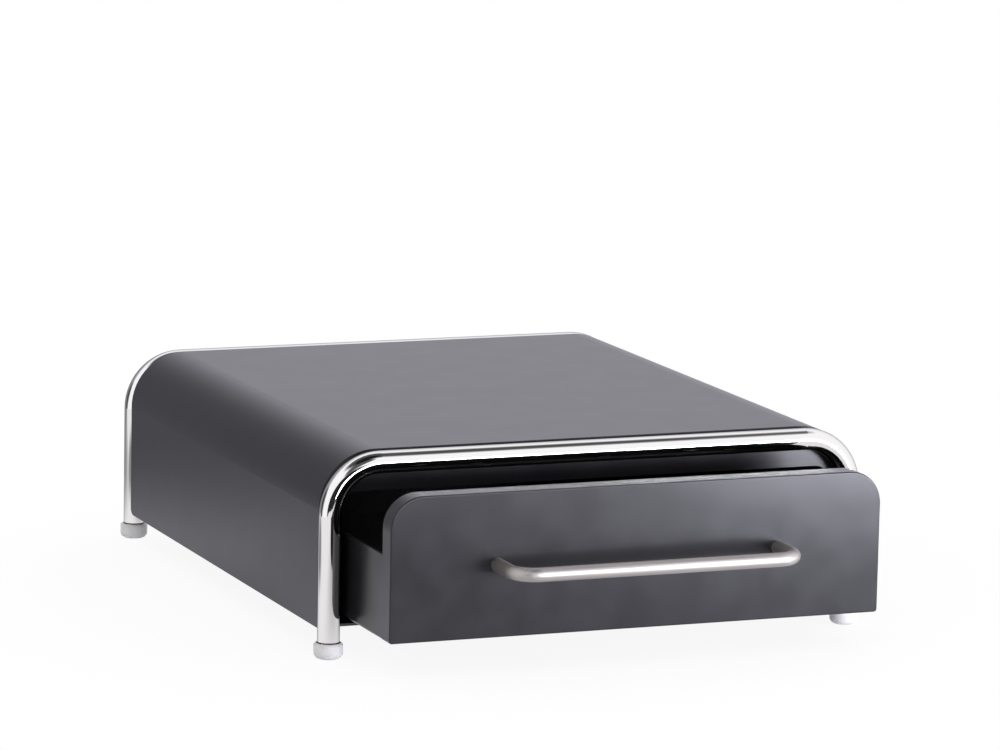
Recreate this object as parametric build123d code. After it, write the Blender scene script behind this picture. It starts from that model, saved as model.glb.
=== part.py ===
from build123d import *
import os

# Coffee pod drawer, in millimetres. +Z is up, +X to the right, and the drawer opens towards -Y.
# The origin is on the table, under the middle of the whole object at rest.
# At rest the drawer stands part way out, by rest_pull.

# Cover: one sheet bent to an inverted U
cover_width = 326.0
cover_depth = 338.0
cover_top = 116.0
cover_bottom = 16.0
cover_sheet = 1.5
shoulder_radius = 33.0
rear_corner_radius = 5.0
cover_edge_round = 0.4

# Hoops: bent tubes that carry the cover, their ends are the legs
hoop_stand_out = 2.0
tube_diameter = 12.7
tube_wall = 1.2
seat_gap = 0.3

# Feet: moulded caps with a ribbed stem inside the tube
foot_wall = 1.75
foot_height = 9.0
foot_toe_radius = 3.5
foot_rim_chamfer = 1.0
foot_socket_depth = 2.0
foot_socket_gap = 0.2
foot_stem_length = 14.0
foot_stem_gap = 0.85
foot_rib_count = 3
foot_rib_pitch = 4.0
foot_rib_height = 2.0
foot_rib_start = 1.6
foot_rib_gap = 0.1

# Front frame: plate with a return flange round the drawer's opening
frame_sheet = 1.5
plate_fit_gap = 0.1
lip_height = 23.7
frame_return = 8.0
opening_radius = 9.0
drawer_side_gap = 2.0

# Floor pan, turned up at both sides and at the rear, and the rear panel above it
floor_sheet = 1.5
floor_flange = 12.0
floor_bend = 2.5
floor_relief = 2.0
rear_sheet = 1.5

# Drawer front: folded pan with a liner behind
front_side_gap = 4.8
front_top_gap = 0.7
front_thickness = 12.5
front_sheet = 1.2
front_corner_radius = 19.0
front_toe_radius = 1.8
front_edge_round = 0.8
liner_gap = 0.2

# Drawer box: folded tray and a back plate, both with hemmed top edges
box_sheet = 1.2
box_height = 47.8
box_bend = 2.2
hem_height = 8.0
hem_fold = 1.3
hem_round = 0.4

# Handle: round bar bent to a D
bar_diameter = 8.0
handle_spacing = 169.0
handle_reach = 35.0
handle_bend = 13.0

# Travel
rest_pull = 58.5
closed_gap = 1.5
stop_setback = 52.9

# Channels inside the cover, and the nylon pieces that run there
channel_sheet = 1.2
channel_lift = 5.5
channel_height = 24.0
channel_bend = 2.0
channel_mouth_gap = 2.5
channel_start_gap = 1.5
channel_end_gap = 5.0
stop_reach = 7.0
stop_height = 12.0
glide_length = 30.0
glide_setback = 8.0
glide_running_gap = 0.3
glide_web_gap = 0.5
glide_base_gap = 0.5
glide_base_rim = 1.2
glide_nose = 1.5
pad_width = 16.0
pad_length = 24.0
pad_height = 3.2
pad_from_front = 6.0
pad_inset = 22.5
pad_running_gap = 0.3
pad_round = 0.8
pad_stem_diameter = 5.0
bumper_diameter = 12.0
bumper_height = 5.0
bumper_inset = 47.5
bumper_stem_diameter = 5.0
bumper_gap = 0.3
bumper_round = 2.0

# Fasteners
small_screw_shank = 3.0
small_screw_head = 5.0
small_screw_length = 5.0
front_screw_shank = 4.0
front_screw_head = 7.5
front_screw_length = 8.0
handle_screw_bite = 10.0
handle_screw_run_out = 4.0
screw_head_share = 0.38
recess_width_share = 0.14
recess_length_share = 0.6
recess_depth_share = 0.5
screw_hole_gap = 0.4
stem_hole_gap = 0.2
washer_diameter = 10.0
washer_thickness = 1.0
rivet_shank = 3.2
rivet_head = 6.5
rivet_head_height = 1.0
rivet_spacing = 14.0
hoop_screw_inset = 58.0
hoop_screw_lifts = [4.5, 43.5]
front_screw_insets = [27.5, 107.5]
front_screw_lift = 12.0

# How far a cut runs past the face that it goes through
cut_past = 1.0

# Sizes and places that follow
tube_radius = tube_diameter / 2
leg_x = cover_width / 2 + hoop_stand_out - tube_radius
hoop_top = cover_top - tube_radius
hoop_bend = leg_x - (cover_width / 2 - shoulder_radius)
hoop_bottom = foot_height - foot_socket_depth
floor_top = cover_bottom + floor_sheet
front_width = 2 * (leg_x - tube_radius - front_side_gap)
front_bottom = floor_top + pad_height + pad_running_gap
front_top = cover_top - tube_diameter - front_top_gap
opening_half = front_width / 2 + drawer_side_gap
lip_edge = cover_top - lip_height
inside_half = cover_width / 2 - cover_sheet
flange_top = cover_bottom + floor_flange
channel_bottom = flange_top + channel_lift
foot_radius = tube_radius + foot_socket_gap + foot_wall
box_top = front_bottom + box_height
handle_z = (front_bottom + front_top) / 2

nose_reach = closed_gap + rest_pull + front_thickness + handle_reach
tail_reach = cover_depth + seat_gap + tube_radius + foot_radius
cover_front = (nose_reach - tail_reach) / 2
cover_rear = cover_front + cover_depth
front_hoop_y = cover_front - seat_gap - tube_radius
rear_hoop_y = cover_rear + seat_gap + tube_radius
front_back = cover_front - closed_gap - rest_pull
front_face = front_back - front_thickness
box_rear_closed = cover_rear - rear_sheet - bumper_height - bumper_gap
box_rear = box_rear_closed - rest_pull
back_wall = box_rear - box_sheet
glide_front = box_rear - glide_setback - glide_length
stop_y = cover_front + stop_setback
channel_web = inside_half - channel_sheet
channel_mouth = front_width / 2 + channel_mouth_gap
bumper_x = front_width / 2 - bumper_inset
bumper_z = front_bottom + box_height / 2
pad_x = front_width / 2 - pad_inset
pad_y = cover_front + pad_from_front + pad_length / 2
rivet_grip = channel_web - glide_web_gap - front_width / 2 - glide_nose


def arch_block(half_width, bottom, top, radius, y_start, y_end):
    """Block along Y whose two top corners are rounded."""
    outline = Pos(0, (bottom + top) / 2) * Rectangle(2 * half_width, top - bottom)
    face = fillet(outline.vertices().sort_by(Axis.Y)[-2:], radius)
    return extrude(Plane.XZ.offset(-y_start) * face, amount=y_end - y_start, dir=(0, 1, 0))


def block(x, y, z):
    """Box between the two values that each of x, y and z gives."""
    corner = Pos(min(x), min(y), min(z))
    low = (Align.MIN, Align.MIN, Align.MIN)
    return corner * Box(abs(x[1] - x[0]), abs(y[1] - y[0]), abs(z[1] - z[0]), align=low)


def rod_y(x, z, y_start, y_end, diameter):
    """Cylinder along Y."""
    face = Plane.XZ.offset(-y_start) * Pos(x, z) * Circle(diameter / 2)
    return extrude(face, amount=y_end - y_start, dir=(0, 1, 0))


def rod_x(y, z, x_start, x_end, diameter):
    """Cylinder along X."""
    face = Plane.YZ.offset(x_start) * Pos(y, z) * Circle(diameter / 2)
    return extrude(face, amount=x_end - x_start, dir=(1, 0, 0))


def rod_z(x, y, z_start, z_end, diameter):
    """Cylinder along Z."""
    face = Plane.XY.offset(z_start) * Pos(x, y) * Circle(diameter / 2)
    return extrude(face, amount=z_end - z_start, dir=(0, 0, 1))


def mirrored(shape):
    """The same piece on the other side of the middle plane."""
    return mirror(shape, about=Plane.YZ)


def pan_screw(seat, outward, shank, head, length):
    """Pan-head screw. Its head stands outward from the seat point, with a cross recess."""
    head_height = head * screw_head_share
    screw = Cylinder(head / 2, head_height, align=(Align.CENTER, Align.CENTER, Align.MIN))
    screw = chamfer(screw.edges().sort_by(Axis.Z)[-1:], head_height / 2, head_height)
    for turn in (0, 90):
        slot = Box(head * recess_length_share, head * recess_width_share, head_height * recess_depth_share,
                   align=(Align.CENTER, Align.CENTER, Align.MAX))
        screw -= Pos(0, 0, head_height) * Rot(0, 0, turn) * slot
    screw += Cylinder(shank / 2, length, align=(Align.CENTER, Align.CENTER, Align.MAX))
    return Plane(origin=seat, x_dir=(1, 0, 0), z_dir=outward) * screw


def hoop_screw_places():
    """X and Z of the screws that hold a hoop: two along the top, two on each leg."""
    places = [(side * (leg_x - hoop_screw_inset), hoop_top) for side in (-1, 1)]
    places += [(side * leg_x, flange_top + lift) for side in (-1, 1) for lift in hoop_screw_lifts]
    return places


def rear_rounded(half_width, y_start, bottom, top, y_end, radius):
    """Block whose lower rear edge is rounded."""
    side = block((-half_width, half_width), (y_start, y_end), (bottom, top))
    lower = [edge for edge in side.edges().filter_by(Axis.X)
             if edge.center().Y > y_end - cut_past and edge.center().Z < bottom + cut_past]
    return fillet(lower, radius)


def end_plate(bottom, y_start, y_end):
    """Plate across the inside of the cover."""
    return arch_block(inside_half - plate_fit_gap, bottom, cover_top - cover_sheet - plate_fit_gap,
                      shoulder_radius - cover_sheet - plate_fit_gap, y_start, y_end)


def hoop_screw_holes(y_start, y_end):
    """The holes that the hoop screws need between two depths."""
    return [rod_y(x, z, y_start, y_end, small_screw_shank + screw_hole_gap) for x, z in hoop_screw_places()]


def make_cover_shell():
    outer = arch_block(cover_width / 2, cover_bottom, cover_top, shoulder_radius, cover_front, cover_rear)
    inner = arch_block(inside_half, cover_bottom - cut_past, cover_top - cover_sheet,
                       shoulder_radius - cover_sheet, cover_front - cut_past, cover_rear + cut_past)
    for side in (Axis.Y, -Axis.Y):
        rim = outer.faces().sort_by(side)[0].edges()
        rim = [edge for edge in rim if edge.center().Z > cover_bottom + cut_past]
        outer = fillet(rim, cover_edge_round)
    return (outer - inner) & rear_rounded(cover_width, cover_front, cover_bottom, cover_top, cover_rear,
                                          rear_corner_radius)


def make_front_frame():
    back = cover_front + frame_sheet
    plate = end_plate(floor_top, cover_front, back)
    rim = arch_block(opening_half + frame_sheet, floor_top, lip_edge + frame_sheet,
                     opening_radius + frame_sheet, cover_front, cover_front + frame_return)
    hole = arch_block(opening_half, floor_top - cut_past, lip_edge, opening_radius,
                      cover_front - cut_past, cover_front + frame_return + cut_past)
    return plate + rim - hole - hoop_screw_holes(cover_front - cut_past, back + cut_past)


def make_rear_panel():
    through = (cover_rear - rear_sheet - cut_past, cover_rear + cut_past)
    panel = end_plate(flange_top, cover_rear - rear_sheet, cover_rear) - hoop_screw_holes(*through)
    for side in (-1, 1):
        panel -= rod_y(side * bumper_x, bumper_z, *through, bumper_stem_diameter + stem_hole_gap)
    return panel


def make_floor_pan():
    side_end = cover_rear - rear_corner_radius - floor_relief
    tray = block((-inside_half, inside_half), (cover_front, side_end), (cover_bottom, flange_top))
    tray = fillet(tray.edges().filter_by(Axis.Y).group_by(Axis.Z)[0], floor_bend)
    hollow = block((floor_sheet - inside_half, inside_half - floor_sheet),
                   (cover_front - cut_past, cover_rear), (floor_top, flange_top + cut_past))
    tray -= fillet(hollow.edges().filter_by(Axis.Y).group_by(Axis.Z)[0], floor_bend - floor_sheet)
    tray -= block((-cover_width, cover_width), (cover_front - cut_past, cover_front + frame_sheet),
                  (floor_top, cover_top))
    rear_half = inside_half - floor_bend
    rear = rear_rounded(rear_half, side_end - floor_relief, cover_bottom, flange_top, cover_rear,
                        rear_corner_radius)
    rear -= rear_rounded(cover_width, cover_front, floor_top, cover_top, cover_rear - floor_sheet,
                         rear_corner_radius - floor_sheet)
    pan = tray + rear
    for side in (-1, 1):
        pan -= rod_z(side * pad_x, pad_y, cover_bottom - cut_past, floor_top + cut_past,
                     pad_stem_diameter + stem_hole_gap)
    return pan


def make_hoop(y, screw_side):
    """Bent tube in the plane y. screw_side is the Y direction of the cover."""
    path = FilletPolyline((-leg_x, y, hoop_bottom), (-leg_x, y, hoop_top), (leg_x, y, hoop_top),
                          (leg_x, y, hoop_bottom), radius=hoop_bend)
    ring = Circle(tube_radius) - Circle(tube_radius - tube_wall)
    hoop = sweep(Plane(origin=path @ 0, z_dir=path % 0) * ring, path=path)
    return hoop - hoop_screw_holes(*sorted((y, y + screw_side * tube_diameter)))


def make_foot(x, y):
    radius = foot_radius
    socket = tube_radius + foot_socket_gap
    stem = tube_radius - tube_wall - foot_stem_gap
    stem_top = hoop_bottom + foot_stem_length
    with BuildSketch(Plane.XZ) as section:
        with BuildLine():
            Line((0, 0), (radius - foot_toe_radius, 0))
            RadiusArc((radius - foot_toe_radius, 0), (radius, foot_toe_radius), -foot_toe_radius)
            Polyline((radius, foot_toe_radius), (radius, foot_height - foot_rim_chamfer),
                     (radius - foot_rim_chamfer, foot_height), (socket, foot_height), (socket, hoop_bottom),
                     (stem, hoop_bottom), (stem, stem_top), (0, stem_top), (0, 0))
        make_face()
    foot = revolve(section.sketch, axis=Axis.Z)
    rib_radius = tube_radius - tube_wall - foot_rib_gap
    for step in range(foot_rib_count):
        rib_base = hoop_bottom + foot_rib_start + foot_rib_pitch * step
        foot += Pos(0, 0, rib_base) * Cone(rib_radius, stem, foot_rib_height,
                                           align=(Align.CENTER, Align.CENTER, Align.MIN))
    return Pos(x, y, 0) * foot


def make_hoop_screws(seat_y, outward):
    screws = [pan_screw((x, seat_y, z), (0, outward, 0), small_screw_shank, small_screw_head,
                        small_screw_length) for x, z in hoop_screw_places()]
    return Compound(children=screws)


def make_right_channel():
    low, high = channel_bottom, channel_bottom + channel_height
    ends = (cover_front + frame_return + channel_start_gap, cover_rear - rear_sheet - channel_end_gap)
    channel = block((channel_mouth, inside_half), ends, (low, high))
    outer = [edge for edge in channel.edges().filter_by(Axis.Y) if edge.center().X > channel_web]
    channel = fillet(outer, channel_bend)
    hollow = block((channel_mouth - cut_past, channel_web), (ends[0] - cut_past, ends[1] + cut_past),
                   (low + channel_sheet, high - channel_sheet))
    inner = [edge for edge in hollow.edges().filter_by(Axis.Y) if edge.center().X > channel_mouth]
    channel -= fillet(inner, channel_bend - channel_sheet)
    middle = (low + high) / 2
    tab_z = (middle - stop_height / 2, middle + stop_height / 2)
    channel -= block((channel_mouth, inside_half + cut_past), (stop_y - stop_reach, stop_y), tab_z)
    channel += block((channel_web - stop_reach + channel_sheet, inside_half),
                     (stop_y - channel_sheet, stop_y), tab_z)
    return channel


def make_right_rear_glide():
    low = channel_bottom + channel_sheet + glide_running_gap
    high = channel_bottom + channel_height - channel_sheet - glide_running_gap
    side = front_width / 2
    length = (glide_front, glide_front + glide_length)
    runner = block((side, channel_web - glide_web_gap), length, (low, high))
    nose = [edge for edge in runner.edges().filter_by(Axis.X) + runner.edges().filter_by(Axis.Z)
            if edge.center().X > side]
    runner = chamfer(nose, glide_nose)
    glide = runner + block((side, channel_mouth - glide_base_gap), length,
                           (low - glide_base_rim, high + glide_base_rim))
    for y, z in glide_rivet_places():
        glide -= rod_x(y, z, side - cut_past, side + rivet_grip, rivet_shank + stem_hole_gap)
    return glide


def glide_rivet_places():
    """Y and Z of the rivets in a rear glide."""
    middle_y = glide_front + glide_length / 2
    middle_z = channel_bottom + channel_height / 2
    return [(middle_y + side * rivet_spacing / 2, middle_z) for side in (-1, 1)]


def make_glide_rivets():
    inner_face = front_width / 2 - box_sheet
    rivets = []
    for y, z in glide_rivet_places():
        rivet = rod_x(y, z, inner_face, front_width / 2 + rivet_grip, rivet_shank)
        head = rod_x(y, z, inner_face - rivet_head_height, inner_face, rivet_head)
        head = fillet(head.edges().sort_by(Axis.X)[:1], rivet_head_height / 2)
        rivets += [rivet + head, mirrored(rivet + head)]
    return Compound(children=rivets)


def make_right_front_glide():
    pad = block((pad_x - pad_width / 2, pad_x + pad_width / 2),
                (pad_y - pad_length / 2, pad_y + pad_length / 2), (floor_top, floor_top + pad_height))
    pad = fillet(pad.edges().group_by(Axis.Z)[-1], pad_round)
    return pad + rod_z(pad_x, pad_y, cover_bottom, floor_top, pad_stem_diameter)


def make_rear_bumpers():
    inner_face = cover_rear - rear_sheet
    bumper = rod_y(bumper_x, bumper_z, inner_face - bumper_height, inner_face, bumper_diameter)
    bumper = fillet(bumper.edges().sort_by(Axis.Y)[:1], bumper_round)
    bumper += rod_y(bumper_x, bumper_z, inner_face, cover_rear, bumper_stem_diameter)
    return Compound(children=[bumper, mirrored(bumper)])


def make_drawer_front():
    half = front_width / 2
    pan = arch_block(half, front_bottom, front_top, front_corner_radius, front_face, front_back)
    toes = [edge for edge in pan.edges().filter_by(Axis.Y) if edge.center().Z < front_bottom + cut_past]
    pan = fillet(toes, front_toe_radius)
    pan = fillet(pan.faces().sort_by(Axis.Y)[0].edges(), front_edge_round)
    pan -= arch_block(half - front_sheet, front_bottom + front_sheet, front_top - front_sheet,
                      front_corner_radius - front_sheet, front_face + front_sheet, front_back + cut_past)
    for side in (-1, 1):
        pan -= rod_y(side * handle_spacing / 2, handle_z, front_face - cut_past, front_back,
                     front_screw_shank + screw_hole_gap)
    return pan


def front_screw_places():
    """X and Z of the screws between the drawer box and its front."""
    height = front_bottom + front_screw_lift
    return [(side * (front_width / 2 - inset), height) for inset in front_screw_insets for side in (-1, 1)]


def front_hole_places():
    """X and Z of every hole through the liner and the front wall of the drawer box."""
    return front_screw_places() + [(side * handle_spacing / 2, handle_z) for side in (-1, 1)]


def make_front_liner():
    inset = front_sheet + liner_gap
    start = front_back - front_sheet
    liner = arch_block(front_width / 2 - inset, front_bottom + inset, front_top - inset,
                       front_corner_radius - inset, start, front_back)
    for x, z in front_hole_places():
        liner -= rod_y(x, z, start - cut_past, front_back + cut_past, front_screw_shank + screw_hole_gap)
    return liner


def make_drawer_box():
    half = front_width / 2
    inside = half - box_sheet
    tray = block((-half, half), (front_back, box_rear), (front_bottom, box_top))
    tray = fillet(tray.edges().filter_by(Axis.Y).group_by(Axis.Z)[0], box_bend)
    hollow = block((-inside, inside), (front_back + box_sheet, box_rear + cut_past),
                   (front_bottom + box_sheet, box_top + cut_past))
    tray -= fillet(hollow.edges().filter_by(Axis.Y).group_by(Axis.Z)[0], box_bend - box_sheet)
    hem = block((inside - hem_fold, inside), (front_back + box_sheet, back_wall - hem_fold - plate_fit_gap),
                (box_top - hem_height, box_top))
    tray += [hem, mirrored(hem)]
    tray = chamfer(tray.faces().sort_by(Axis.Z)[-1].edges().filter_by(Axis.Y), hem_round)
    for x, z in front_hole_places():
        tray -= rod_y(x, z, front_back - cut_past, front_back + box_sheet + cut_past,
                      front_screw_shank + screw_hole_gap)
    for y, z in glide_rivet_places():
        tray -= rod_x(y, z, -half - cut_past, half + cut_past, rivet_shank + stem_hole_gap)
    return tray


def make_drawer_back():
    side = front_width / 2 - box_sheet - plate_fit_gap
    plate = block((-side, side), (back_wall, box_rear), (front_bottom + box_sheet + plate_fit_gap, box_top))
    plate = fillet(plate.edges().filter_by(Axis.Y).group_by(Axis.Z)[0], box_bend - box_sheet)
    plate += block((-side, side), (back_wall - hem_fold, back_wall), (box_top - hem_height, box_top))
    return chamfer(plate.faces().sort_by(Axis.Z)[-1].edges().filter_by(Axis.X), hem_round)


def make_handle():
    bar_y = front_face - handle_reach + bar_diameter / 2
    post_x = handle_spacing / 2
    path = FilletPolyline((-post_x, front_face, handle_z), (-post_x, bar_y, handle_z),
                          (post_x, bar_y, handle_z), (post_x, front_face, handle_z), radius=handle_bend)
    handle = sweep(Plane(origin=path @ 0, z_dir=path % 0) * Circle(bar_diameter / 2), path=path)
    for side in (-1, 1):
        handle -= rod_y(side * post_x, handle_z, front_face - handle_screw_bite - handle_screw_run_out,
                        front_face, front_screw_shank + screw_hole_gap)
    return handle


def make_handle_fasteners():
    wall = front_back + box_sheet
    seat = wall + washer_thickness
    length = seat - front_face + handle_screw_bite
    screws = []
    washers = []
    for side in (-1, 1):
        x = side * handle_spacing / 2
        screws.append(pan_screw((x, seat, handle_z), (0, 1, 0), front_screw_shank, front_screw_head,
                                length))
        washer = rod_y(x, handle_z, wall, seat, washer_diameter)
        washers.append(washer - rod_y(x, handle_z, wall, seat, front_screw_shank + screw_hole_gap))
    return Compound(children=screws), Compound(children=washers)


def make_front_screws():
    seat = front_back + box_sheet
    return Compound(children=[pan_screw((x, seat, z), (0, 1, 0), front_screw_shank, front_screw_head,
                                        front_screw_length) for x, z in front_screw_places()])


right_channel = make_right_channel()
right_rear_glide = make_right_rear_glide()
right_front_glide = make_right_front_glide()
handle_screws, handle_washers = make_handle_fasteners()

nodes = {
    "cover_shell": make_cover_shell(),
    "front_frame": make_front_frame(),
    "rear_panel": make_rear_panel(),
    "floor_pan": make_floor_pan(),
    "front_hoop": make_hoop(front_hoop_y, 1),
    "rear_hoop": make_hoop(rear_hoop_y, -1),
    "front_left_foot": make_foot(-leg_x, front_hoop_y),
    "front_right_foot": make_foot(leg_x, front_hoop_y),
    "rear_left_foot": make_foot(-leg_x, rear_hoop_y),
    "rear_right_foot": make_foot(leg_x, rear_hoop_y),
    "front_hoop_screws": make_hoop_screws(cover_front + frame_sheet, 1),
    "rear_hoop_screws": make_hoop_screws(cover_rear - rear_sheet, -1),
    "left_channel": mirrored(right_channel),
    "right_channel": right_channel,
    "left_front_glide": mirrored(right_front_glide),
    "right_front_glide": right_front_glide,
    "rear_bumpers": make_rear_bumpers(),
    "drawer_front": make_drawer_front(),
    "front_liner": make_front_liner(),
    "drawer_box": make_drawer_box(),
    "drawer_back": make_drawer_back(),
    "front_screws": make_front_screws(),
    "handle": make_handle(),
    "handle_screws": handle_screws,
    "handle_washers": handle_washers,
    "left_rear_glide": mirrored(right_rear_glide),
    "right_rear_glide": right_rear_glide,
    "glide_rivets": make_glide_rivets(),
}

os.makedirs("parts", exist_ok=True)
for name, shape in nodes.items():
    export_step(shape, f"parts/{name}.step")
    print(name, round(shape.volume), "mm3")
print("drawer travel from rest:", -rest_pull, "to", round(glide_front - glide_running_gap - stop_y, 3))
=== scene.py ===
import math

import bpy
from mathutils import Matrix, Vector

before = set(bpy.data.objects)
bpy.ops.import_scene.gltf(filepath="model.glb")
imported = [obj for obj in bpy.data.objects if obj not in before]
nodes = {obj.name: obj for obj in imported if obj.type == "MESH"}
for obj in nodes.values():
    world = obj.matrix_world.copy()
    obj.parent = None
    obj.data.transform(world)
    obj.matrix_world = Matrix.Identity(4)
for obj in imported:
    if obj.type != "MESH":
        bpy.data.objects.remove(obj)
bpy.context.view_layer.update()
scene = bpy.context.scene
mmPerMetre = 1000
mixFirst, mixSecond, mixResult = 6, 7, 2  # a Mix node's colour sockets share names with its others
print("frame loaded with", len(nodes), "nodes")


# sRGB hex to the linear colour that a socket takes
def hexColour(code):
    parts = [int(code[i:i + 2], 16) / 255 for i in (1, 3, 5)]
    linear = [c / 12.92 if c <= 0.04045 else ((c + 0.055) / 1.055) ** 2.4 for c in parts]
    return linear + [1.0]


# a size in millimetres to metres
def metres(size):
    return size / mmPerMetre


# texture scale, in features to the metre, from the size of one feature in millimetres
def perSize(size):
    return mmPerMetre / size


# plain socket values, where a hex code stands for a colour
def setSockets(node, values):
    for socket, value in values.items():
        node.inputs[socket].default_value = hexColour(value) if isinstance(value, str) else value


# links into a node's sockets, each from an output of another node
def linkSockets(tree, node, links):
    for socket, (source, output) in links.items():
        tree.links.new(source.outputs[output], node.inputs[socket])


# one shader node with its settings, its socket values and its links
def addNode(tree, kind, settings=None, values=None, links=None):
    node = tree.nodes.new(kind)
    for name, value in (settings or {}).items():
        setattr(node, name, value)
    setSockets(node, values or {})
    linkSockets(tree, node, links or {})
    return node


# a material with its shader's plain sockets set, and the object's own coordinates in metres
def newMaterial(name, sockets):
    material = bpy.data.materials.new(name)
    material.use_nodes = True
    tree = material.node_tree
    shader = tree.nodes["Principled BSDF"]
    setSockets(shader, sockets)
    return material, tree, shader, (addNode(tree, "ShaderNodeTexCoord"), "Object")


# long lens, low three-quarter view from the front left
camera = {
    "aim": (-0.03889, -0.07997, 0.14627),
    "azimuth": -21.996,
    "elevation": 9.727,
    "roll": 1.150,
    "distance": 3.00272,
    "lens": 189.975,
    "sensor": 36,
    "clip": (0.05, 100),
}


def makeCamera(view):
    turn, lift = math.radians(view["azimuth"]), math.radians(view["elevation"])
    level = math.cos(lift)
    back = Vector((math.sin(turn) * level, -math.cos(turn) * level, math.sin(lift)))
    data = bpy.data.cameras.new("camera")
    data.lens, data.sensor_width = view["lens"], view["sensor"]
    data.clip_start, data.clip_end = view["clip"]
    holder = bpy.data.objects.new("camera", data)
    scene.collection.objects.link(holder)
    holder.matrix_world = (Matrix.Translation(Vector(view["aim"]) + back * view["distance"])
                           @ back.to_track_quat("Z", "Y").to_matrix().to_4x4()
                           @ Matrix.Rotation(math.radians(view["roll"]), 4, "Z"))
    scene.camera = holder


makeCamera(camera)
print("camera placed")

# white table in a white room, with two softboxes at the front right; dark flags overhead, at the
# left, behind left and in front show only in reflections, and the camera sees plain white
studio = {
    "white": "#ffffff",
    "roomColour": "#f5f3ff",
    "roomLevel": 1.08,
    "flags": [  # the cosines off its middle where each begins and is full, and the level it leaves
        {"towards": (0.0, -0.10, 1.0), "lit": 0.80, "dark": 0.92, "level": 0.08},
        {"towards": (-0.45, 0.87, 0.12), "lit": 0.66, "dark": 0.95, "level": 0.32},
        {"towards": (-0.29, -0.95, -0.12), "lit": 0.80, "dark": 0.84, "level": 0.02},
        {"towards": (-0.85, 0.50, 0.10), "lit": 0.92, "dark": 0.98, "level": 0.15},
        {"towards": (0.0, -0.28, 0.96), "lit": 0.945, "dark": 0.975, "level": 0.15},
        {"towards": (-0.10, -0.70, 0.70), "lit": 0.93, "dark": 0.97, "level": 0.10},
    ],
    "tableSockets": {"Base Color": "#f4f4f4", "Roughness": 0.9, "Specular IOR Level": 0.0},
    "tableX": (-0.62, 2.6),
    "tableY": (-0.80, 0.42),
    "shadowShare": 0.09,
    "shadowReach": (0.24, 0.40),
    "tableLevel": 0.92,
    "shades": [  # painted shadows on the table, seen only in reflections, where the object and the camera would keep light from it
        {"at": (0.0, 0.045, 0.0), "reach": (0.10, 0.24), "level": 0.3},
        {"at": (-0.10, -0.52, 0.0), "reach": (0.13, 0.155), "level": 0.02},
        {"at": (-0.05, -0.37, 0.0), "reach": (0.06, 0.32), "level": 0.55},
        {"at": (-0.36, 0.40, 0.0), "reach": (0.05, 0.25), "level": 0.4},
        {"at": (-0.38, 0.09, 0.0), "reach": (0.05, 0.17), "level": 0.3},
    ],
    "lampAim": (0.0, -0.1, 0.06),
    "lampColour": "#f1f1ff",
    "lamps": [
        {"name": "frontSoftbox", "at": (0.32, -1.12, 0.10), "size": (1.0, 0.18), "watts": 6.0},
        {"name": "rightSoftbox", "at": (0.40, -0.66, 0.09), "size": (0.30, 0.17), "watts": 2.8},
    ],
}


def makeWorld(look):
    world = bpy.data.worlds.new("studio")
    world.use_nodes = True
    scene.world = world
    tree = world.node_tree
    tree.nodes.clear()
    path = addNode(tree, "ShaderNodeLightPath")
    way = addNode(tree, "ShaderNodeTexCoord")
    level = addNode(tree, "ShaderNodeValue")
    level.outputs["Value"].default_value = look["roomLevel"]
    for flag in look["flags"]:
        near = addNode(tree, "ShaderNodeVectorMath", {"operation": "DOT_PRODUCT"},
                       {1: Vector(flag["towards"]).normalized()}, {0: (way, "Generated")})
        share = addNode(tree, "ShaderNodeMapRange", {"interpolation_type": "SMOOTHSTEP"},
                        {"From Min": flag["lit"], "From Max": flag["dark"],
                         "To Min": 1.0, "To Max": flag["level"]}, {"Value": (near, "Value")})
        level = addNode(tree, "ShaderNodeMath", {"operation": "MULTIPLY"},
                        links={0: (level, "Value"), 1: (share, "Result")})
    # only reflections meet the flags and the room's level, everything else meets a plain 1
    shown = addNode(tree, "ShaderNodeMath", {"operation": "MULTIPLY"},
                    links={0: (level, "Value"), 1: (path, "Is Glossy Ray")})
    plain = addNode(tree, "ShaderNodeMath", {"operation": "SUBTRACT"}, {0: 1.0},
                    {1: (path, "Is Glossy Ray")})
    strength = addNode(tree, "ShaderNodeMath", {"operation": "ADD"},
                       links={0: (shown, "Value"), 1: (plain, "Value")})
    # the room's own faint colour too is only in reflections
    colour = addNode(tree, "ShaderNodeMix", {"data_type": "RGBA"},
                     {mixFirst: look["white"], mixSecond: look["roomColour"]},
                     {"Factor": (path, "Is Glossy Ray")})
    room = addNode(tree, "ShaderNodeBackground",
                   links={"Color": (colour, mixResult), "Strength": (strength, "Value")})
    addNode(tree, "ShaderNodeOutputWorld", links={"Surface": (room, "Background")})


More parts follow.
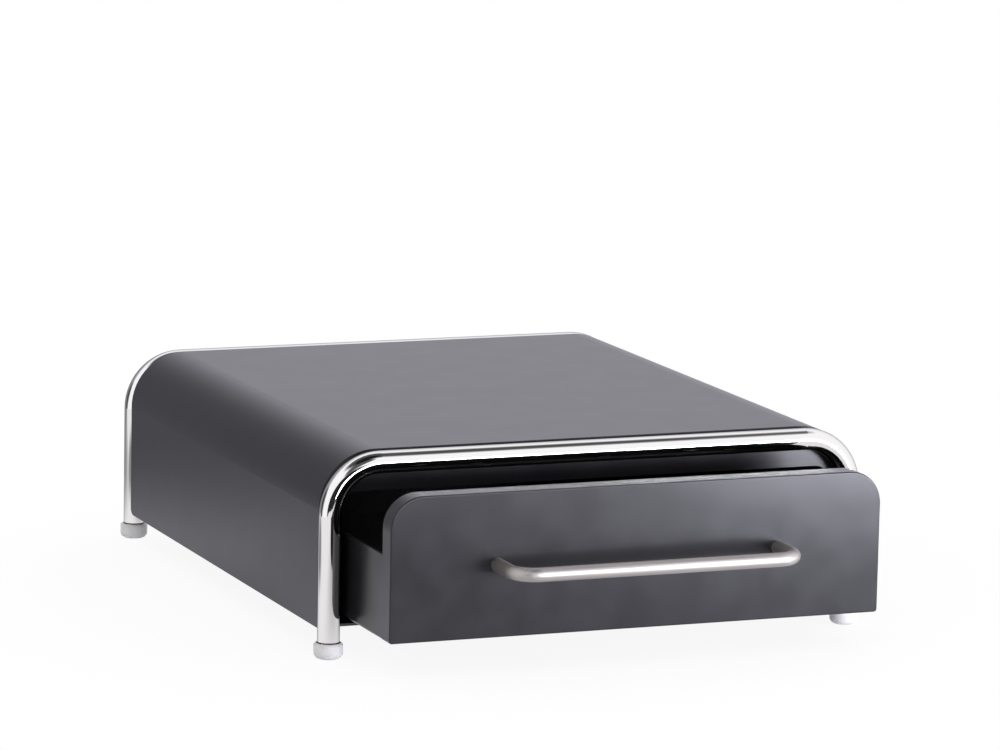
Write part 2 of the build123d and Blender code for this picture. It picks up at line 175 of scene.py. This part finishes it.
def makeTable(look):
    (left, right), (front, back) = look["tableX"], look["tableY"]
    mesh = bpy.data.meshes.new("tableTop")
    mesh.from_pydata([(left, front, 0), (right, front, 0), (right, back, 0), (left, back, 0)],
                     [], [(0, 1, 2, 3)])
    table = bpy.data.objects.new("tableTop", mesh)
    scene.collection.objects.link(table)
    material, tree, shader, at = newMaterial("mattPaintedTable", look["tableSockets"])
    path = addNode(tree, "ShaderNodeLightPath")
    # near the object the camera sees a share of its soft shadow, further off plain white
    away = addNode(tree, "ShaderNodeVectorMath", {"operation": "LENGTH"}, links={0: at})
    share = addNode(tree, "ShaderNodeMapRange", {"interpolation_type": "SMOOTHSTEP"},
                    {"From Min": look["shadowReach"][0], "From Max": look["shadowReach"][1],
                     "To Min": 1 - look["shadowShare"]}, {"Value": (away, "Value")})
    factor = addNode(tree, "ShaderNodeMath", {"operation": "MULTIPLY"},
                     links={0: (path, "Is Camera Ray"), 1: (share, "Result")})
    for kind in ("Is Glossy Ray", "Is Transmission Ray"):
        factor = addNode(tree, "ShaderNodeMath", {"operation": "ADD", "use_clamp": True},
                         links={0: (factor, "Value"), 1: (path, kind)})
    level = addNode(tree, "ShaderNodeValue")
    level.outputs["Value"].default_value = look["tableLevel"]
    # painted shadow: each shade darkens the table's white for reflections within its reach of a point
    for shade in look["shades"]:
        gap = addNode(tree, "ShaderNodeVectorMath", {"operation": "DISTANCE"},
                      {1: shade["at"]}, {0: at})
        lit = addNode(tree, "ShaderNodeMapRange", {"interpolation_type": "SMOOTHSTEP"},
                      {"From Min": shade["reach"][0], "From Max": shade["reach"][1],
                       "To Min": shade["level"]}, {"Value": (gap, "Value")})
        level = addNode(tree, "ShaderNodeMath", {"operation": "MULTIPLY"},
                        links={0: (level, "Value"), 1: (lit, "Result")})
    # only reflections meet the shades, the camera and the translucent feet meet plain white
    plain = addNode(tree, "ShaderNodeMath", {"operation": "SUBTRACT"}, {0: 1.0},
                    {1: (path, "Is Glossy Ray")})
    strength = addNode(tree, "ShaderNodeMath", {"operation": "MAXIMUM"},
                       links={0: (plain, "Value"), 1: (level, "Value")})
    colour = addNode(tree, "ShaderNodeMix", {"data_type": "RGBA"},
                     {mixFirst: look["white"], mixSecond: look["roomColour"]},
                     {"Factor": (path, "Is Glossy Ray")})
    white = addNode(tree, "ShaderNodeEmission",
                    links={"Color": (colour, mixResult), "Strength": (strength, "Value")})
    mix = addNode(tree, "ShaderNodeMixShader",
                  links={0: (factor, "Value"), 1: (shader, "BSDF"), 2: (white, "Emission")})
    linkSockets(tree, tree.nodes["Material Output"], {"Surface": (mix, "Shader")})
    mesh.materials.append(material)


def makeLamps(look):
    for lamp in look["lamps"]:
        data = bpy.data.lights.new(lamp["name"], "AREA")
        data.shape = "RECTANGLE"
        data.size, data.size_y = lamp["size"]
        data.energy = lamp["watts"]
        data.color = hexColour(look["lampColour"])[:3]
        holder = bpy.data.objects.new(lamp["name"], data)
        scene.collection.objects.link(holder)
        holder.visible_camera = False
        holder.location = lamp["at"]
        away = Vector(lamp["at"]) - Vector(look["lampAim"])
        holder.rotation_mode = "QUATERNION"
        holder.rotation_quaternion = away.to_track_quat("Z", "Y")


makeWorld(studio)
makeTable(studio)
makeLamps(studio)
scene.view_settings.view_transform = "Standard"
print("studio lit")

# satin charcoal powder coat on sheet steel, baked: its fine orange peel spreads highlights wide,
# and smudges from handling show only as a change of sheen
coverCoat = {
    "colour": "#1b1b1e",
    "patchColour": "#1f1f22",
    "patchSize": 70,
    "roughness": (0.33, 0.34),
    "smudgeSize": 24,
    "smudgeSpread": (0.35, 0.65),  # noise values that the roughness runs over
    "peelSize": 2.2,  # real peel is about 1 mm, drawn coarser to show
    "peelDepth": 0.002,
    "grainSize": 0.8,
    "grainDepth": 0.0006,
    "sockets": {"IOR": 1.5},
}
# the same coat lies smoother on the flat pressed pieces
panelCoat = dict(coverCoat, colour="#1a1a1d", patchColour="#1e1e21",
                 smudgeSize=22, roughness=(0.225, 0.26))


def powderCoat(name, look):
    material, tree, shader, at = newMaterial(name, look["sockets"])
    patch = addNode(tree, "ShaderNodeTexNoise",
                    values={"Scale": perSize(look["patchSize"]), "Detail": 3.0},
                    links={"Vector": at})
    colour = addNode(tree, "ShaderNodeMix", {"data_type": "RGBA"},
                     {mixFirst: look["colour"], mixSecond: look["patchColour"]},
                     {"Factor": (patch, "Fac")})
    smudge = addNode(tree, "ShaderNodeTexNoise",
                     values={"Scale": perSize(look["smudgeSize"]), "Detail": 2.0},
                     links={"Vector": at})
    shine = addNode(tree, "ShaderNodeMapRange",
                    values={"From Min": look["smudgeSpread"][0], "From Max": look["smudgeSpread"][1],
                            "To Min": look["roughness"][0], "To Max": look["roughness"][1]},
                    links={"Value": (smudge, "Fac")})
    peel = addNode(tree, "ShaderNodeTexNoise",
                   values={"Scale": perSize(look["peelSize"]), "Detail": 1.0},
                   links={"Vector": at})
    grain = addNode(tree, "ShaderNodeTexNoise",
                    values={"Scale": perSize(look["grainSize"]), "Detail": 2.0},
                    links={"Vector": at})
    raised = addNode(tree, "ShaderNodeBump",
                     values={"Distance": metres(look["peelDepth"]), "Strength": 1.0},
                     links={"Height": (peel, "Fac")})
    raised = addNode(tree, "ShaderNodeBump",
                     values={"Distance": metres(look["grainDepth"]), "Strength": 1.0},
                     links={"Height": (grain, "Fac"), "Normal": (raised, "Normal")})
    linkSockets(tree, shader, {"Base Color": (colour, mixResult), "Roughness": (shine, "Result"),
                               "Normal": (raised, "Normal")})
    return material


# polished chrome plate on bent steel tube: a hard mirror, a little darker at its edges
chromePlate = {
    "roughness": (0.03, 0.06),
    "hazeSize": 16,
    "hazeSpread": (0.4, 0.7),
    "waveSize": 14,
    "waveDepth": 0.004,
    "colour": "#f8f8ee",
    "paintedShadeColour": "#4a3e36",
    "paintedShadeReach": (9.4, 10.0),  # heights where the painted shade above each foot ends, its rim is at 9 mm
    "sockets": {"Metallic": 1.0, "Specular Tint": "#a0a0a6"},
}
# satin-brushed stainless bar: fine scratches round the bar stretch its highlight along it
brushedBar = {
    "colour": "#dcd7cf",
    "darkColour": "#b0aba4",
    "roughness": (0.42, 0.60),
    "brushSize": 1.1,  # real scratches are about 0.05 mm wide, drawn coarser to show
    "brushLength": 70,
    "brushDepth": 0.004,
    "brushSpread": (0.3, 0.7),
    "sockets": {"Metallic": 1.0},
}
# zinc plate on pressed steel: dull silver with a cloudy blue and yellow cast
zincPlate = {
    "colour": "#aeb2b8",
    "cloudColour": "#bdb79f",
    "cloudSize": 9,
    "cloudSpread": (0.3, 0.7),
    "roughness": (0.28, 0.42),
    "sockets": {"Metallic": 1.0},
}


def polishedChrome(name, look):
    material, tree, shader, at = newMaterial(name, look["sockets"])
    haze = addNode(tree, "ShaderNodeTexNoise",
                   values={"Scale": perSize(look["hazeSize"]), "Detail": 4.0},
                   links={"Vector": at})
    shine = addNode(tree, "ShaderNodeMapRange",
                    values={"From Min": look["hazeSpread"][0], "From Max": look["hazeSpread"][1],
                            "To Min": look["roughness"][0], "To Max": look["roughness"][1]},
                    links={"Value": (haze, "Fac")})
    # painted shade: a dark band round the tube just above each foot's rim, where the tube goes into
    # the foot
    height = addNode(tree, "ShaderNodeSeparateXYZ", links={"Vector": at})
    pastShade = addNode(tree, "ShaderNodeMapRange", {"interpolation_type": "SMOOTHSTEP"},
                    {"From Min": metres(look["paintedShadeReach"][0]),
                     "From Max": metres(look["paintedShadeReach"][1])},
                    {"Value": (height, "Z")})
    colour = addNode(tree, "ShaderNodeMix", {"data_type": "RGBA"},
                     {mixFirst: look["paintedShadeColour"], mixSecond: look["colour"]},
                     {"Factor": (pastShade, "Result")})
    wave = addNode(tree, "ShaderNodeTexNoise",
                   values={"Scale": perSize(look["waveSize"]), "Detail": 0.0},
                   links={"Vector": at})
    raised = addNode(tree, "ShaderNodeBump",
                     values={"Distance": metres(look["waveDepth"]), "Strength": 1.0},
                     links={"Height": (wave, "Fac")})
    linkSockets(tree, shader, {"Base Color": (colour, mixResult), "Roughness": (shine, "Result"),
                               "Normal": (raised, "Normal")})
    return material


def brushedSteel(name, look):
    material, tree, shader, at = newMaterial(name, look["sockets"])
    across = perSize(look["brushSize"])
    along = addNode(tree, "ShaderNodeMapping",
                    values={"Scale": (perSize(look["brushLength"]), across, across)},
                    links={"Vector": at})
    brush = addNode(tree, "ShaderNodeTexNoise", values={"Scale": 1.0, "Detail": 3.0},
                    links={"Vector": (along, "Vector")})
    colour = addNode(tree, "ShaderNodeMix", {"data_type": "RGBA"},
                     {mixFirst: look["darkColour"], mixSecond: look["colour"]},
                     {"Factor": (brush, "Fac")})
    shine = addNode(tree, "ShaderNodeMapRange",
                    values={"From Min": look["brushSpread"][0], "From Max": look["brushSpread"][1],
                            "To Min": look["roughness"][0], "To Max": look["roughness"][1]},
                    links={"Value": (brush, "Fac")})
    raised = addNode(tree, "ShaderNodeBump",
                     values={"Distance": metres(look["brushDepth"]), "Strength": 1.0},
                     links={"Height": (brush, "Fac")})
    linkSockets(tree, shader, {"Base Color": (colour, mixResult), "Roughness": (shine, "Result"),
                               "Normal": (raised, "Normal")})
    return material


def zincSteel(name, look):
    material, tree, shader, at = newMaterial(name, look["sockets"])
    cloud = addNode(tree, "ShaderNodeTexNoise",
                    values={"Scale": perSize(look["cloudSize"]), "Detail": 4.0},
                    links={"Vector": at})
    colour = addNode(tree, "ShaderNodeMix", {"data_type": "RGBA"},
                     {mixFirst: look["colour"], mixSecond: look["cloudColour"]},
                     {"Factor": (cloud, "Fac")})
    shine = addNode(tree, "ShaderNodeMapRange",
                    values={"From Min": look["cloudSpread"][0], "From Max": look["cloudSpread"][1],
                            "To Min": look["roughness"][0], "To Max": look["roughness"][1]},
                    links={"Value": (cloud, "Fac")})
    linkSockets(tree, shader, {"Base Color": (colour, mixResult), "Roughness": (shine, "Result")})
    return material


# moulded low-density polyethylene: milky, lets a little light through, soft highlight
footPlastic = {
    "colour": "#dfdedd",
    "flowColour": "#e7e6e5",
    "flowSize": 6,
    "textureSize": 0.5,
    "textureDepth": 0.002,
    "sockets": {"IOR": 1.51, "Roughness": 0.38, "Subsurface Weight": 0.35, "Subsurface Scale": 0.003,
                "Subsurface Radius": (1.0, 1.0, 1.0), "Transmission Weight": 0.25},
}
# machined natural nylon: warm white, dull
glideNylon = {
    "colour": "#dedacb",
    "flowColour": "#e6e3d6",
    "flowSize": 5,
    "textureSize": 0.6,
    "textureDepth": 0.006,
    "sockets": {"IOR": 1.53, "Roughness": 0.5, "Subsurface Weight": 0.2, "Subsurface Scale": 0.003,
                "Subsurface Radius": (1.0, 1.0, 1.0)},
}
# moulded black rubber: dark and matt, with a faint grey bloom
bumperRubber = {
    "colour": "#1b1b1c",
    "flowColour": "#262627",
    "flowSize": 3,
    "textureSize": 0.5,
    "textureDepth": 0.01,
    "sockets": {"IOR": 1.52, "Roughness": 0.75},
}


def plasticOrRubber(name, look):
    material, tree, shader, at = newMaterial(name, look["sockets"])
    flow = addNode(tree, "ShaderNodeTexNoise",
                   values={"Scale": perSize(look["flowSize"]), "Detail": 3.0},
                   links={"Vector": at})
    colour = addNode(tree, "ShaderNodeMix", {"data_type": "RGBA"},
                     {mixFirst: look["colour"], mixSecond: look["flowColour"]},
                     {"Factor": (flow, "Fac")})
    texture = addNode(tree, "ShaderNodeTexNoise",
                      values={"Scale": perSize(look["textureSize"]), "Detail": 2.0},
                      links={"Vector": at})
    raised = addNode(tree, "ShaderNodeBump",
                     values={"Distance": metres(look["textureDepth"]), "Strength": 1.0},
                     links={"Height": (texture, "Fac")})
    linkSockets(tree, shader, {"Base Color": (colour, mixResult), "Normal": (raised, "Normal")})
    return material


coatOnCover = powderCoat("satinPowderCoatOnCover", coverCoat)
coatOnPanels = powderCoat("satinPowderCoatOnPanels", panelCoat)
chrome = polishedChrome("polishedChromePlate", chromePlate)
brushed = brushedSteel("brushedStainlessSteel", brushedBar)
zinc = zincSteel("zincPlatedSteel", zincPlate)
polyethylene = plasticOrRubber("mouldedPolyethylene", footPlastic)
nylon = plasticOrRubber("machinedNylon", glideNylon)
rubber = plasticOrRubber("mouldedRubber", bumperRubber)
print("materials made")

finishes = {
    coatOnCover: ["cover_shell", "rear_panel", "floor_pan"],
    coatOnPanels: ["front_frame", "drawer_front", "front_liner", "drawer_box", "drawer_back"],
    chrome: ["front_hoop", "rear_hoop"],
    brushed: ["handle"],
    zinc: ["front_hoop_screws", "rear_hoop_screws", "front_screws", "handle_screws", "handle_washers",
           "glide_rivets", "left_channel", "right_channel"],
    polyethylene: ["front_left_foot", "front_right_foot", "rear_left_foot", "rear_right_foot"],
    nylon: ["left_front_glide", "right_front_glide", "left_rear_glide", "right_rear_glide"],
    rubber: ["rear_bumpers"],
}
for finish, names in finishes.items():
    for name in names:
        for held in nodes[name].material_slots:
            held.material = finish
print("finishes given to", sum(len(names) for names in finishes.values()), "nodes")
